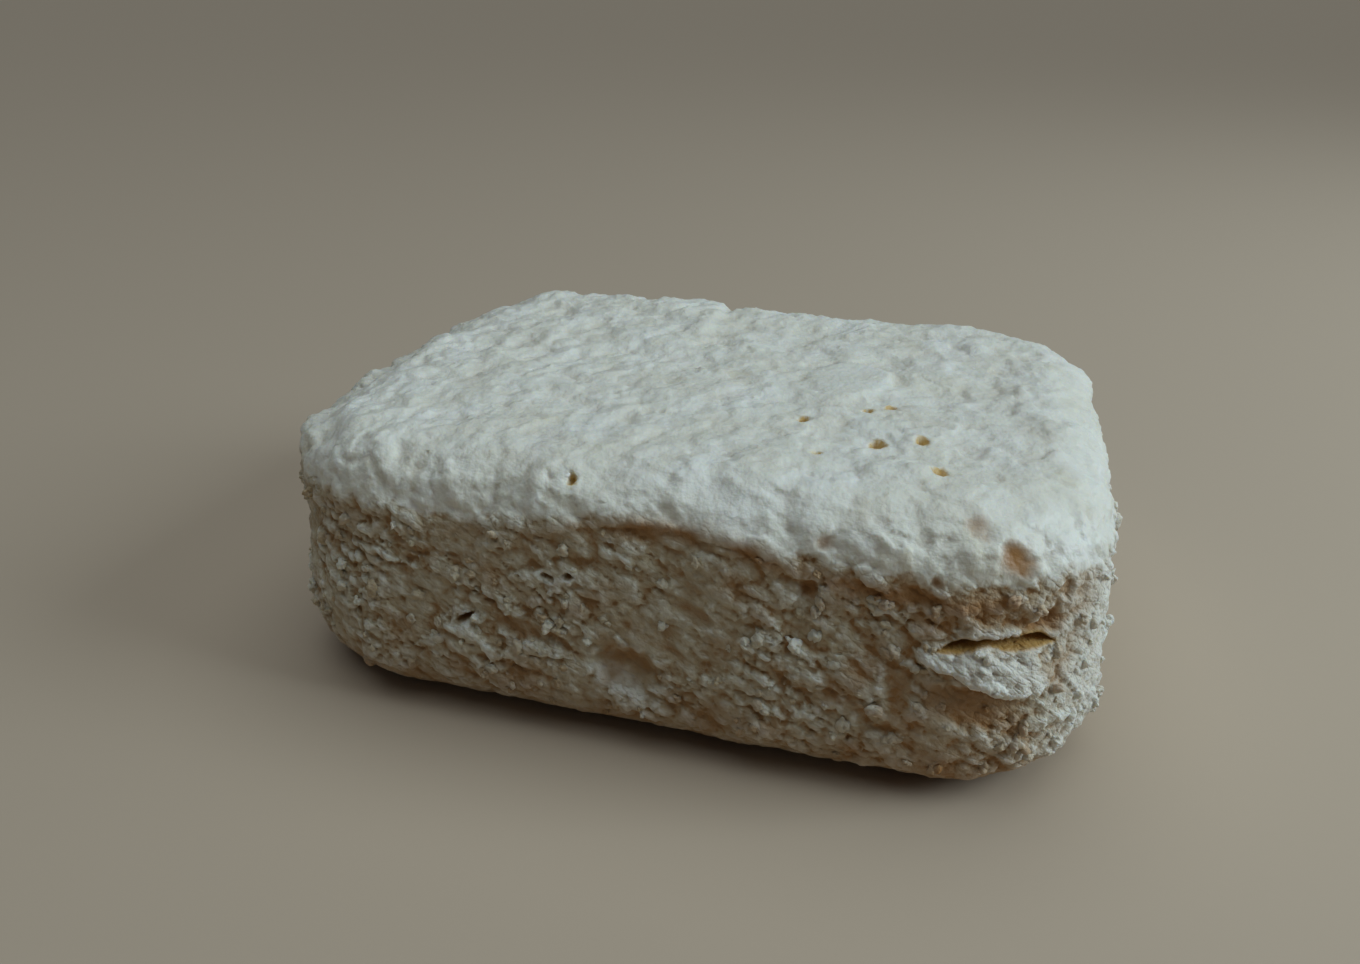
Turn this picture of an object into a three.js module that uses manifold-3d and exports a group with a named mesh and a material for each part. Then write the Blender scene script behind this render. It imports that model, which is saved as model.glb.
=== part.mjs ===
// A block of steamed chicken tofu, pressed in a shallow box and turned out: one solid piece.
// A smooth pressed skin covers the top and rolls over its edges, and the sides are crumbly curd.
// Lengths are in millimetres. The block rests on its flat base, with its long front face towards -Y.

import * as THREE from 'three';
import { ParametricGeometry } from 'three/addons/geometries/ParametricGeometry.js';
import { ImprovedNoise } from 'three/addons/math/ImprovedNoise.js';
import { mergeGeometries, mergeVertices } from 'three/addons/utils/BufferGeometryUtils.js';
import Module from 'manifold-3d';

// The block
const LENGTH = 147.5;
const WIDTH = 107.5;
const HEIGHT = 50.5;
const CORNER_RADIUS = 28;
const SKIN_COLOUR = 0xdad8c6;
const SKIN_ROUGHNESS = 0.55;

// The top skin, which rolls over the edge and ends in a wavy rim
const ROLL_WIDTH = 12;
const RIM_HEIGHT = 39.5;
const RIM_WAVE = { size: 17, depth: 1.1, slice: 0.5 };
const TONGUE_RISE = 3.3;
const TONGUE_X = 5.5;
const TONGUE_WIDTH = 23.6;

// The sides below the rim, which stand back most under the tongue
const LEDGE_IN = 0.7;
const LEDGE_TONGUE_IN = 1.1;
const LEDGE_DROP = 1.5;
const FLARE = 1.7;
const FLARE_END = 0.6;
const BASE_ROLL_WIDTH = 12;
const BASE_ROLL_HEIGHT = 12.5;

// Relief on the top: broad waves, curd lumps, a fold that steps down and one patch pressed flat
const TOP_WAVE = { size: 24, depth: 0.9, slice: 3.3 };
const TOP_LUMP = { size: 8.5, depth: 0.8, slice: 7.7 };
const FOLD = { x: -8, slope: 0.06, front: -12, back: 45, rise: 1.6, edge: 1.6, reach: 45 };
const FLAT_PATCH = { x: 25.5, y: 4.5, halfX: 9, halfY: 12, flatTo: 0.7, lumpyFrom: 1.1 };

// Relief on the sides: broad waves, and crags drawn out along a grain that falls to the right
const SIDE_WAVE = { size: 21, depth: 1.1 };
const SIDE_CRAG = { along: 10, across: 6, depth: 1.7, crease: 0.5 };
const GRAIN_SLOPE = 0.55;
const CALM_BASE = 5;

// The torn slit at the front right corner, as an outline from its left tip, and the flake below it
const SLIT_TIP = { x: 48.2, y: -55.2, z: 30.6 };
const SLIT_TURN = 23.6;
const SLIT_DEPTH = 6;
const SLIT_OUTLINE = [[0, 0], [3, 2.3], [12.5, 3.1], [17, 5.8], [19.6, 2.6], [20.2, -0.4], [11, 0.3]];
const FLAKE = { at: [58.5, -50.4, 26.6], half: [13, 5.4, 4], fall: 17, turn: 23.6 };

// Dents: a thumb mark, hollows, crevices and the dimples of the rim
const DENTS = {
  thumb: { at: [-1.7, -57.6, 17.2], half: [8, 4.4, 5], fall: 25, turn: 0 },
  underFlake: { at: [54.6, -57, 20.6], half: [9.5, 4.6, 3.2], fall: 18, turn: 20 },
  slantCrevice: { at: [-31, -55.8, 22], half: [3.6, 2.6, 1.3], fall: 35, turn: 0 },
  leftCrevice: { at: [-15, -55.4, 34.5], half: [3, 2.4, 1.1], fall: 20, turn: 0 },
  rimHole: { at: [28.3, -55.6, 38.3], half: [1.6, 2.6, 1.1], fall: 10, turn: 0 },
  rimDimple: { at: [58.4, -50.4, 48.4], half: [3, 2.6, 2.6], fall: 0, turn: 30 },
  smallDimple: { at: [52.1, -47.6, 51.4], half: [2.2, 2, 2], fall: 0, turn: 0 },
};

// Pits in the top, where bubbles broke through: places and radii
const PITS = [
  [20.4, -18.2, 1.1], [31, -11.8, 1], [34.4, -25.4, 1.6], [41.7, -23.2, 1.1], [25.1, -32.6, 1.1],
];
const PIT_LENGTH = 4;

// Crumbs that stand out of the sides: how far they reach along the side and out of it
const CRUMB_COUNT = 46;
const CRUMB_REACH = [1.6, 3.4];
const CRUMB_STAND = 0.5;
const CRUMB_LOW = 5;
const CRUMB_HIGH = 36;
const CRUMB_SEED = 7;

// Facets: how fine the sheets and the pebbles are, and how near points are joined
const WELD = 1e-3;
const DENT_DETAIL = 1;
const CRUMB_DETAIL = 0;
const CELLS_LONG = 48;
const CELLS_WIDE = 36;
const ROLL_SHARE = 0.25;
const LEDGE_ROWS = 1;
const WALL_ROWS = 10;
const BASE_ROWS = 4;

const { clamp, degToRad, lerp, seededRandom, smoothstep } = THREE.MathUtils;
const UP = new THREE.Vector3(0, 0, 1);
const noise = new ImprovedNoise();
const wasm = await Module();
wasm.setup();

// A bell-shaped bump, 1 at its middle.
function bell(distance, width) {
  return Math.exp(-((distance / width) ** 2));
}

// A point of the block's plan outline with its outward normal, from a point on the unit square's border.
function outline(u, v) {
  const straightX = LENGTH / 2 - CORNER_RADIUS;
  const straightY = WIDTH / 2 - CORNER_RADIUS;
  const halfArc = (CORNER_RADIUS * Math.PI) / 4;
  const onEnd = Math.abs(u) >= Math.abs(v);
  const straight = onEnd ? straightY : straightX;
  const walked = Math.abs(onEnd ? v : u) * (straight + halfArc);
  const bend = Math.max(0, walked - straight) / CORNER_RADIUS;
  const angle = onEnd ? bend : Math.PI / 2 - bend;
  const alongX = onEnd ? straightX : Math.min(walked, straightX);
  const alongY = onEnd ? Math.min(walked, straightY) : straightY;
  const signX = Math.sign(u);
  const signY = Math.sign(v);
  return {
    x: signX * (alongX + CORNER_RADIUS * Math.cos(angle)),
    y: signY * (alongY + CORNER_RADIUS * Math.sin(angle)),
    normalX: signX * Math.cos(angle),
    normalY: signY * Math.sin(angle),
  };
}

// How much of the raised tongue of skin there is at a place: all of it at its middle, on the front.
function tongue(x, y) {
  return y < 0 ? bell(x - TONGUE_X, TONGUE_WIDTH) : 0;
}

// Height of the skin's wavy rim at a place on the outline.
function rimHeight(x, y) {
  const wave = RIM_WAVE.depth * noise.noise(x / RIM_WAVE.size, y / RIM_WAVE.size, RIM_WAVE.slice);
  return RIM_HEIGHT + wave + TONGUE_RISE * tongue(x, y);
}

// The top skin: a flat middle, then a quarter of an ellipse down to the rim.
function topPoint(share, depth, target) {
  const u = 2 * share - 1;
  const v = 2 * depth - 1;
  const ring = Math.max(Math.abs(u), Math.abs(v));
  if (ring === 0) {
    target.set(0, 0, HEIGHT);
    return;
  }
  const edge = outline(u / ring, v / ring);
  const rolled = clamp((ring - 1 + ROLL_SHARE) / ROLL_SHARE, 0, 1) * (Math.PI / 2);
  const inset = ROLL_WIDTH * (1 - Math.sin(rolled));
  const scale = Math.min(1, ring / (1 - ROLL_SHARE));
  const rim = rimHeight(edge.x, edge.y);
  target.set(
    (edge.x - inset * edge.normalX) * scale,
    (edge.y - inset * edge.normalY) * scale,
    rim + (HEIGHT - rim) * Math.cos(rolled),
  );
}

// The border of the unit square, walked once round from its front left corner.
function squareBorder(share) {
  const lap = share * 2 * (CELLS_LONG + CELLS_WIDE);
  if (lap <= CELLS_LONG) return [(2 * lap) / CELLS_LONG - 1, -1];
  if (lap <= CELLS_LONG + CELLS_WIDE) return [1, (2 * (lap - CELLS_LONG)) / CELLS_WIDE - 1];
  if (lap <= 2 * CELLS_LONG + CELLS_WIDE) {
    return [1 - (2 * (lap - CELLS_LONG - CELLS_WIDE)) / CELLS_LONG, 1];
  }
  return [-1, 1 - (2 * (lap - 2 * CELLS_LONG - CELLS_WIDE)) / CELLS_WIDE];
}

// The side below the rim: the ledge under the skin, a flaring wall, and the roll in to the base.
function sidePoint(share, rise, target) {
  const edge = outline(...squareBorder(share));
  const rim = rimHeight(edge.x, edge.y);
  const row = (1 - rise) * (LEDGE_ROWS + WALL_ROWS + BASE_ROWS);
  const ledge = clamp(row / LEDGE_ROWS, 0, 1);
  const wall = clamp((row - LEDGE_ROWS) / WALL_ROWS, 0, 1);
  const roll = clamp((row - LEDGE_ROWS - WALL_ROWS) / BASE_ROWS, 0, 1) * (Math.PI / 2);
  const ledgeIn = LEDGE_IN + LEDGE_TONGUE_IN * tongue(edge.x, edge.y);
  const flare = FLARE * Math.sin((Math.PI / 2) * Math.min(1, wall / FLARE_END));
  const inset = ledgeIn * ledge - flare + BASE_ROLL_WIDTH * (1 - Math.cos(roll));
  const height = lerp(rim - LEDGE_DROP * ledge, BASE_ROLL_HEIGHT * (1 - Math.sin(roll)), wall);
  target.set(edge.x - inset * edge.normalX, edge.y - inset * edge.normalY, height);
}

// The flat base, a fan that closes the lowest ring of the sides and faces down.
function baseSheet() {
  const point = new THREE.Vector3();
  const columns = 2 * (CELLS_LONG + CELLS_WIDE);
  const sheet = new THREE.CircleGeometry(1, columns);
  for (let column = 0; column <= columns; column += 1) {
    sidePoint(1 - column / columns, 0, point);
    sheet.attributes.position.setXYZ(column + 1, point.x, point.y, point.z);
  }
  return sheet;
}

// Only positions, with shared vertices merged.
function closed(geometry) {
  geometry.deleteAttribute('normal');
  geometry.deleteAttribute('uv');
  return mergeVertices(geometry, WELD);
}

// Relief of the top skin at a place.
function topRelief(x, y) {
  const wave = TOP_WAVE.depth * noise.noise(x / TOP_WAVE.size, y / TOP_WAVE.size, TOP_WAVE.slice);
  const lump = TOP_LUMP.depth * noise.noise(x / TOP_LUMP.size, y / TOP_LUMP.size, TOP_LUMP.slice);
  const patchX = (x - FLAT_PATCH.x) / FLAT_PATCH.halfX;
  const patchY = (y - FLAT_PATCH.y) / FLAT_PATCH.halfY;
  const lumpy = smoothstep(Math.hypot(patchX, patchY), FLAT_PATCH.flatTo, FLAT_PATCH.lumpyFrom);
  const left = FOLD.x - FOLD.slope * (y - FOLD.front) - x;
  const fold = smoothstep(left, -FOLD.edge, FOLD.edge) * smoothstep(y, FOLD.front, FOLD.back);
  return wave + lump * lumpy + FOLD.rise * fold * bell(Math.max(0, left), FOLD.reach);
}

// Rounded lumps parted by sharp creases.
function billow(x, y, z) {
  return 2 * Math.abs(noise.noise(x, y, z)) - SIDE_CRAG.crease;
}

// Relief of the crumbly sides at a place.
function sideRelief(x, y, z) {
  const { size, depth } = SIDE_WAVE;
  const wave = depth * noise.noise(x / size, y / size, z / size);
  const across = (z + GRAIN_SLOPE * (x + y)) / SIDE_CRAG.across;
  const crag = SIDE_CRAG.depth * billow(x / SIDE_CRAG.along, y / SIDE_CRAG.along, across);
  return (wave + crag) * smoothstep(z, 0, CALM_BASE);
}

// The closed block with its relief pushed out along the surface.
function reliefBlock() {
  const rows = LEDGE_ROWS + WALL_ROWS + BASE_ROWS;
  const top = new ParametricGeometry(topPoint, CELLS_LONG, CELLS_WIDE);
  const side = new ParametricGeometry(sidePoint, 2 * (CELLS_LONG + CELLS_WIDE), rows);
  const block = closed(mergeGeometries([top, side, baseSheet()]));
  block.computeVertexNormals();
  const place = new THREE.Vector3();
  const normal = new THREE.Vector3();
  const { position, normal: normals } = block.attributes;
  for (let i = 0; i < position.count; i += 1) {
    place.fromBufferAttribute(position, i);
    normal.fromBufferAttribute(normals, i);
    const rim = rimHeight(place.x, place.y);
    const onTop = smoothstep(place.z, rim, HEIGHT);
    const relief = lerp(sideRelief(place.x, place.y, place.z), topRelief(place.x, place.y), onTop);
    place.addScaledVector(normal, relief);
    position.setXYZ(i, place.x, place.y, place.z);
  }
  block.computeVertexNormals();
  return block;
}

// A solid from a closed geometry.
function solid(geometry) {
  const merged = closed(geometry);
  return new wasm.Manifold(new wasm.Mesh({
    numProp: 3,
    vertProperties: Float32Array.from(merged.attributes.position.array),
    triVerts: Uint32Array.from(merged.index.array),
  }));
}

// A pebble with three half sizes, set at a place with a rotation.
function pebble(at, half, rotation, detail) {
  const matrix = new THREE.Matrix4().compose(at, rotation, half);
  return solid(new THREE.IcosahedronGeometry(1, detail).applyMatrix4(matrix));
}

// A pebble turned about Z and falling to the right by an angle.
function fallingPebble({ at, half, fall, turn }) {
  const tilt = new THREE.Euler(0, degToRad(fall), degToRad(turn), 'ZYX');
  const rotation = new THREE.Quaternion().setFromEuler(tilt);
  return pebble(new THREE.Vector3(...at), new THREE.Vector3(...half), rotation, DENT_DETAIL);
}

// The space of the torn slit, cut square into the corner.
function slitSpace() {
  const shape = new THREE.Shape(SLIT_OUTLINE.map(([x, z]) => new THREE.Vector2(x, z)));
  const space = new THREE.ExtrudeGeometry(shape, { depth: 2 * SLIT_DEPTH, bevelEnabled: false });
  space.translate(0, 0, -SLIT_DEPTH);
  space.rotateX(Math.PI / 2);
  space.rotateZ(degToRad(SLIT_TURN));
  space.translate(SLIT_TIP.x, SLIT_TIP.y, SLIT_TIP.z);
  return solid(space);
}

// Flat crumbs seated on points of the sides picked at random.
function crumbs(block) {
  const { position, normal } = block.attributes;
  const outward = new THREE.Vector3();
  const made = [];
  seededRandom(CRUMB_SEED);
  while (made.length < CRUMB_COUNT) {
    const pick = Math.floor(seededRandom() * position.count);
    const at = new THREE.Vector3().fromBufferAttribute(position, pick);
    if (at.z > CRUMB_LOW && at.z < CRUMB_HIGH) {
      outward.fromBufferAttribute(normal, pick);
      const reach = lerp(...CRUMB_REACH, seededRandom());
      const half = new THREE.Vector3(reach, lerp(...CRUMB_REACH, seededRandom()), CRUMB_STAND * reach);
      const spin = new THREE.Quaternion().setFromAxisAngle(UP, 2 * Math.PI * seededRandom());
      const rotation = new THREE.Quaternion().setFromUnitVectors(UP, outward).multiply(spin);
      made.push(pebble(at, half, rotation, CRUMB_DETAIL));
    }
  }
  return made;
}

// The pits of the top.
function pits() {
  const upright = new THREE.Quaternion();
  return PITS.map(([x, y, radius]) => {
    const half = new THREE.Vector3(radius, radius, PIT_LENGTH / 2);
    return pebble(new THREE.Vector3(x, y, HEIGHT), half, upright, CRUMB_DETAIL);
  });
}

// The block with its crumbs and flake joined on, and its slit, dents and pits cut out.
function tofuGeometry() {
  const block = reliefBlock();
  const lumps = [fallingPebble(FLAKE), ...crumbs(block)];
  const hollows = [slitSpace(), ...Object.values(DENTS).map(fallingPebble), ...pits()];
  const joined = lumps.reduce((whole, lump) => whole.add(lump), solid(block));
  const finished = hollows.reduce((whole, hollow) => whole.subtract(hollow), joined).getMesh();
  const geometry = new THREE.BufferGeometry();
  const points = Float32Array.from(finished.vertProperties);
  geometry.setAttribute('position', new THREE.BufferAttribute(points, 3));
  geometry.setIndex(new THREE.BufferAttribute(Uint32Array.from(finished.triVerts), 1));
  geometry.computeBoundingBox();
  const middle = geometry.boundingBox.getCenter(new THREE.Vector3());
  geometry.translate(-middle.x, -middle.y, 0);
  geometry.computeVertexNormals();
  return geometry;
}

const tofuBlock = new THREE.Mesh(
  tofuGeometry(),
  new THREE.MeshStandardMaterial({ color: SKIN_COLOUR, roughness: SKIN_ROUGHNESS, metalness: 0 }),
);
tofuBlock.name = 'tofu_block';

const tofu = new THREE.Group();
tofu.add(tofuBlock);

export default tofu;
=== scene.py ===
"""A block of steamed chicken tofu: a pressed top skin that rolls over crumbly curd sides."""

import math
from typing import NamedTuple

import bpy
from bpy.props import FloatProperty, FloatVectorProperty, IntProperty, PointerProperty
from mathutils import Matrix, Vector


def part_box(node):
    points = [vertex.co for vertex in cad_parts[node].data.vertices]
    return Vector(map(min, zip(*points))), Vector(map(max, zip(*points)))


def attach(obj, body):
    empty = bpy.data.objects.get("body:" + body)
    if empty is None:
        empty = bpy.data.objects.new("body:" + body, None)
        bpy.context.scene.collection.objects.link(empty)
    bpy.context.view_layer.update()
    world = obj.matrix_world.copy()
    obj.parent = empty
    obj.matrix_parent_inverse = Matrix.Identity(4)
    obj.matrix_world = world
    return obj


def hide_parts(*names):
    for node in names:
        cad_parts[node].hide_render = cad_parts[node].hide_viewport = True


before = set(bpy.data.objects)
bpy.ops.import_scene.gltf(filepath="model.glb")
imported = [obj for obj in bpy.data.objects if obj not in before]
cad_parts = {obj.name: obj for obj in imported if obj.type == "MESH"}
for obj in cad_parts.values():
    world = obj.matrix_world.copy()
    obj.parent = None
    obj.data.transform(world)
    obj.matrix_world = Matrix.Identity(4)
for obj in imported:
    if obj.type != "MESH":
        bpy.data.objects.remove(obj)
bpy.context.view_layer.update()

bl_info = {
    "name": "Steamed Chicken Tofu",
    "version": (1, 0, 0),
    "blender": (4, 5, 0),
    "location": "3D View > Sidebar > Tofu",
    "description": "Makes a moulded block of steamed chicken tofu and a plain stage for it",
    "category": "Object",
}

MM = 0.001
NODE = "tofu_block"
BODY = "root"
LOW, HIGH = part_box(NODE)
MARGIN = 4 * MM

# How far crags and lumps stand out of the block's plain form
CRAG_REACH = 0.8 * MM
FLAKE_REACH = 2.3 * MM
LUMP_REACH = 2 * MM


# Node expressions


class Wire:
    """A socket of a node tree, used as a value in expressions that add the tree's nodes."""

    def __init__(self, tree, socket=None):
        self.tree = tree
        self.socket = socket

    def node(self, kind, settings=None, links=None, output=0):
        """Add a node: its settings first, then the values or links of its sockets."""
        made = self.tree.nodes.new(kind)
        for name, value in (settings or {}).items():
            setattr(made, name, value)
        for key, value in (links or {}).items():
            wires = value if isinstance(value, list) else [value]
            for wire in wires:
                if isinstance(wire, Wire):
                    self.tree.links.new(wire.socket, made.inputs[key])
                else:
                    made.inputs[key].default_value = wire
        return Wire(self.tree, made.outputs[output] if made.outputs else None)

    def math(self, operation, *values):
        return self.node("ShaderNodeMath", {"operation": operation}, dict(enumerate(values)))

    def vector(self, operation, *values, output=0):
        return self.node("ShaderNodeVectorMath", {"operation": operation}, dict(enumerate(values)), output)

    def scaled(self, amount):
        return self.node("ShaderNodeVectorMath", {"operation": "SCALE"}, {"Vector": self, "Scale": amount})

    def __add__(self, other):
        return self.math("ADD", self, other)

    def __radd__(self, other):
        return self.math("ADD", other, self)

    def __sub__(self, other):
        return self.math("SUBTRACT", self, other)

    def __rsub__(self, other):
        return self.math("SUBTRACT", other, self)

    def __mul__(self, other):
        return self.math("MULTIPLY", self, other)

    def __rmul__(self, other):
        return self.math("MULTIPLY", other, self)

    def __truediv__(self, other):
        return self.math("DIVIDE", self, other)

    def __neg__(self):
        return self.math("MULTIPLY", self, -1)

    def __abs__(self):
        return self.math("ABSOLUTE", self)

    def most(self, other):
        return self.math("MAXIMUM", self, other)

    def least(self, other):
        return self.math("MINIMUM", self, other)

    def also(self, name):
        """Another output of the same node."""
        return Wire(self.tree, self.socket.node.outputs[name])

    def split(self):
        parts = self.node("ShaderNodeSeparateXYZ", {}, {0: self})
        return [Wire(self.tree, socket) for socket in parts.socket.node.outputs]


def combine(x, y, z):
    """A vector from three values, the first of which is a wire."""
    return x.node("ShaderNodeCombineXYZ", {}, {0: x, 1: y, 2: z})


def step(value, low, high):
    """A smooth step from 0 at low to 1 at high."""
    links = {"Value": value, "From Min": low, "From Max": high}
    return value.node("ShaderNodeMapRange", {"interpolation_type": "SMOOTHSTEP"}, links)


def bell(distance, width):
    """A bell-shaped bump, 1 at its middle."""
    share = distance / width
    power = -(share * share)
    return power.math("EXPONENT", power)


def hypot(a, b):
    square = a * a + b * b
    return square.math("SQRT", square)


def blend(share, first, second):
    """Values mixed from the first to the second by a share."""
    return first + (second - first) * share


def tint(share, first, second):
    """Colours mixed from the first to the second by a share."""
    settings = {"data_type": "RGBA"}
    return share.node("ShaderNodeMix", settings, {0: share, 6: first, 7: second}, 2)


# Noise, ramps and marks


class Layer(NamedTuple):
    """A layer of noise: the size of its features, how far it goes either way, its detail and its seed."""

    size: float
    rise: float = 1.0
    detail: float = 2.0
    seed: float = 0.0


class Lumps(NamedTuple):
    """A layer of rounded lumps: their size, how far they stand out, and how uneven their levels are."""

    size: float
    rise: float = 1.0
    uneven: float = 1.0


class Bend(NamedTuple):
    """Noise that moves places about: the size of its bends, and how far it reaches."""

    size: float
    reach: float


class Ramp(NamedTuple):
    """A smooth rise: the values at which it begins and is full, and how much it then comes to."""

    low: float
    high: float
    share: float = 1.0


class Patches(NamedTuple):
    """Patches where noise is high: their size, the ramp in from their edges, and its detail and seed."""

    size: float
    ramp: Ramp
    detail: float = 3.0
    seed: float = 0.0


class Mark(NamedTuple):
    """A mark on the front: middle, half sizes and depth in millimetres, fall in degrees, and stain."""

    at: tuple
    half: tuple
    fall: float
    depth: float = 0.0
    stain: float = 0.0


# How high the flat tops of rounded lumps are, and where the torn edges of plates begin
DOME_TOP = 0.75
PLATE_EDGE = Ramp(0.7, 1.0)


def ramped(value, ramp):
    """How much a ramp comes to at a value."""
    return step(value, ramp.low, ramp.high) * ramp.share


def noise(place, layer):
    """Smooth noise of about a layer's rise either way."""
    links = {"Vector": place, "W": layer.seed, "Scale": 1 / layer.size, "Detail": layer.detail}
    made = place.node("ShaderNodeTexNoise", {"noise_dimensions": "4D"}, links)
    return layer.rise * (made * 2 - 1)


def patched(place, patches):
    """How much patches come to at a place."""
    layer = Layer(patches.size, detail=patches.detail, seed=patches.seed)
    return ramped(noise(place, layer), patches.ramp)


def domes(place, lumps):
    """Rounded lumps with creases between them, each at a level of its own."""
    cells = place.node("ShaderNodeTexVoronoi", {"feature": "F1"}, {"Vector": place, "Scale": 1 / lumps.size})
    level = cells.also("Color").split()[0] - 0.5
    return lumps.rise * ((1 - 2 * cells * cells).least(DOME_TOP) + lumps.uneven * level)


def terraces(place, layer, levels):
    """Flat plates with steep torn edges, at a few levels of a layer of noise."""
    height = noise(place, layer) * levels
    floor = height.math("FLOOR", height)
    return (floor + ramped(height - floor, PLATE_EDGE)) / levels


def warped(place, *bends):
    """The place, moved about by one bend after another."""
    for bend in bends:
        links = {"Vector": place, "Scale": 1 / bend.size, "Detail": 1.0}
        moved = place.node("ShaderNodeTexNoise", {}, links, "Color")
        centred = place.vector("SUBTRACT", moved, (0.5, 0.5, 0.5))
        place = place.vector("ADD", place, centred.scaled(bend.reach))
    return place


def in_metres(lengths):
    """A point that is given in millimetres."""
    return tuple(length * MM for length in lengths)


def new_object(name, data):
    """A new object in the scene."""
    made = bpy.data.objects.new(name, data)
    bpy.context.scene.collection.objects.link(made)
    return made


# Sizes and colours


def length_property(name, default, description):
    """A length that can be set."""
    return FloatProperty(name=name, default=default, description=description, unit="LENGTH", precision=5)


def colour_property(name, default, description):
    """A colour that can be set."""
    return FloatVectorProperty(name=name, default=default, description=description, subtype="COLOR", size=4)


class BlockSizes(bpy.types.PropertyGroup):
    """Sizes of the block, and of the relief on its faces."""

    length: length_property("Length", HIGH.x - LOW.x - 2 * CRAG_REACH, "Length of the sides' plain outline")
    width: length_property("Width", HIGH.y - LOW.y - 2 * FLAKE_REACH, "Width of the sides' plain outline")
    height: length_property("Height", HIGH.z - LUMP_REACH, "Height of the top without its lumps")
    corner: length_property("Corner Radius", 29 * MM, "Radius of the four upright corners")
    top_roll: length_property("Top Roll", 11.5 * MM, "Radius of the rolled top edge")
    base_roll: length_property("Base Roll", 12.5 * MM, "Radius of the rolled lower edge")
    rim_height: length_property("Rim Height", 39.8 * MM, "Height of the rim where the top skin ends")
    flare: length_property("Flare", 1.7 * MM, "How far the sides stand back under the rim")
    skin: length_property("Skin Thickness", 0.3 * MM, "How far the skin's rim stands out")
    crag: length_property("Crag Depth", 0.55 * MM, "Depth of the slanted crags of the sides")
    crumb: length_property("Crumb Depth", 0.55 * MM, "Depth of the crumbs of the sides")
    lump: length_property("Lump Depth", 0.9 * MM, "Depth of the pressed lumps of the top")
    voxel: length_property("Finest Detail", 0.45 * MM, "Size of the cells that the curd is made from")
    triangles: IntProperty(
        name="Triangles", description="Most triangles that the finished surface may have", default=196000)


class CrumbSizes(bpy.types.PropertyGroup):
    """Sizes and numbers of the crumbs that cling to the sides."""

    smallest: length_property("Smallest", 0.5 * MM, "Radius of the smallest crumbs")
    largest: length_property("Largest", 1.3 * MM, "Radius of the largest scattered crumbs")
    density: FloatProperty(
        name="Density", description="Most crumbs on a square metre of the sides", default=80000)
    seed: IntProperty(name="Seed", description="Which scatter of crumbs is made", default=7)


class CurdColours(bpy.types.PropertyGroup):
    """Colours of the curd."""

    # Cream on raised curd and pale on raised crumbs are partly their own tone and partly painted light.
    cream: colour_property("Cream", (0.80, 0.765, 0.655, 1), "Top skin and raised curd")
    pale: colour_property("Pale", (0.87, 0.85, 0.77, 1), "Palest patches of the skin and palest crumbs")
    # Curd is darker than cream partly as the bare curd's own tone and partly as painted shade of the sides.
    curd: colour_property("Curd", (0.535, 0.435, 0.29, 1), "Bare curd of the sides")
    butter: colour_property("Butter", (0.74, 0.66, 0.46, 1), "Yellower patches of the curd")
    # Tan is partly the curd's own tone and partly painted shade in the hollows and creases.
    tan: colour_property("Tan", (0.41, 0.23, 0.098, 1), "Hollows and creases")
    # Rust is a real stain in the dents, and painted shadow in the hollow below the flake and in the line
    # under the rim.
    rust: colour_property("Rust", (0.39, 0.19, 0.062, 1), "Stains of the dents, the rim and below the flake")
    amber: colour_property("Amber", (0.62, 0.39, 0.10, 1), "Pits, and with rust the inside of the slit")


class StageSettings(bpy.types.PropertyGroup):
    """The floor and the camera."""

    floor: colour_property("Floor", (0.51, 0.40, 0.295, 1), "Colour of the floor")
    lens: FloatProperty(name="Lens", description="Focal length in millimetres", default=27.0)
    distance: length_property("Camera Distance", 218.0 * MM, "From the camera to the point it looks at")
    azimuth: FloatProperty(
        name="Azimuth", description="How far round to the right of the front face the camera stands",
        default=math.radians(16.4), unit="ROTATION")
    elevation: FloatProperty(
        name="Elevation", description="How far above the floor the camera looks down from",
        default=math.radians(26.2), unit="ROTATION")
    target: FloatVectorProperty(
        name="Target", description="The point that the camera looks at", subtype="TRANSLATION", size=3,
        default=(-8.2 * MM, 0, 25.7 * MM))


# The block's form

# Shares of the height: where the roll changes, and where the flare begins
ROLL_CHANGE = (0.4, 0.6)
FLARE_FROM = 0.3

# The front: shares of the width, and where the colour of its marks begins
FRONT_SHARES = (0.2, 0.4)
FRONT_FACE = Ramp(30 * MM, 40 * MM)

# The rim of the skin, which is worn at the right
RIM_WAVES = Layer(13 * MM, rise=1.1 * MM)
RIM_RAG = Layer(3 * MM, rise=1.0 * MM, seed=19)
RIM_STAND = Layer(10 * MM, rise=1.6, detail=0, seed=12)
RIM_EDGE = Ramp(-0.8 * MM, 0.8 * MM)
RIM_WORN = Ramp(35 * MM, 60 * MM, 0.7)

# The tongue of skin that rises on the front
TONGUE = {"x": 5.5 * MM, "width": 22 * MM, "rise": 4.2 * MM, "stands": 0.8 * MM}

# Heights above the rim, for the skin's colour, the top's relief and the line under the rim, which is painted
# shadow below the rim and the skin's own orange edge at the tongue
SKIN_RISE = Ramp(-1 * MM, 5 * MM)
TOP_RISE = Ramp(-2 * MM, 8 * MM)
UNDER_RIM = {"below": 1.5 * MM, "reach": 1.8 * MM}

# Heights where the relief begins above the base, and where pits are coloured
BASE_RISE = Ramp(0.2 * MM, 4 * MM)
PIT_HEIGHT = Ramp(44 * MM, 46 * MM)

# The pressed lumps and plates of the top
TOP_WAVES = Layer(24 * MM, rise=0.8 * MM, detail=1, seed=2)
TOP_BEND = Bend(6 * MM, 5 * MM)
TOP_LUMPS = Layer(6 * MM, rise=1.6, detail=3, seed=4)
PLATES = Layer(13 * MM, detail=1, seed=7)
PLATE_LEVELS = 4
PLATE_RISE = 1.6

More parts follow.
